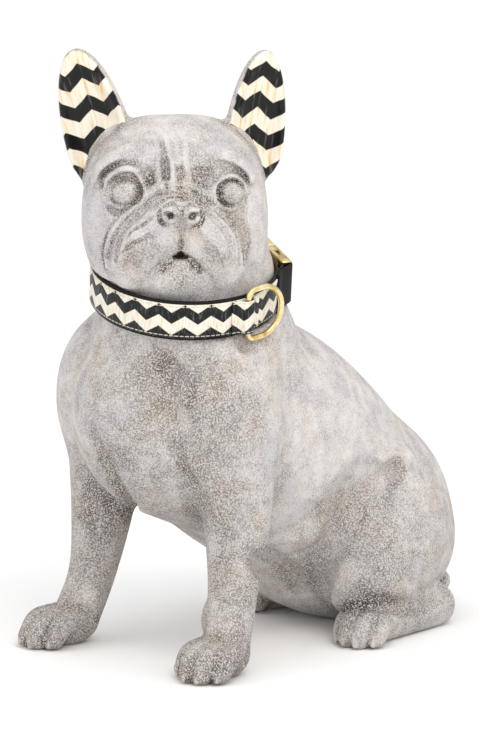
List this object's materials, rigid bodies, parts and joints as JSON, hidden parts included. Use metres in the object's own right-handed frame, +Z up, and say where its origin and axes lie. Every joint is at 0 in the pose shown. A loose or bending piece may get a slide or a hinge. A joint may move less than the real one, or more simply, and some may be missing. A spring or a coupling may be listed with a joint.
{
  "type": "dog garden statue",
  "caption": "Life-size seated French bulldog garden statue of pale cast composition, with patterned inner ears and a webbing dog collar with a ring and a snap buckle.",
  "frame": {"origin": "middle of the bounding box, on the plane that the paws and the rump stand on", "axes": "+Z up; the body faces -Y; +X is the dog's own left, and its head is turned that way"},
  "size_m": [0.2182, 0.356, 0.452],
  "materials": {
    "cast_composition": "matte",
    "webbing": "matte",
    "ribbon": "satin",
    "gold_wire": "polished",
    "gold_casting": "polished"
  },
  "bodies": {
    "root": {"bulldog": "cast_composition", "collar_webbing": "webbing", "collar_ribbon": "ribbon", "ring_keeper": "ribbon", "d_ring": "gold_wire", "buckle_socket": "gold_casting", "buckle_prong": "gold_casting"}
  },
  "joints": []
}
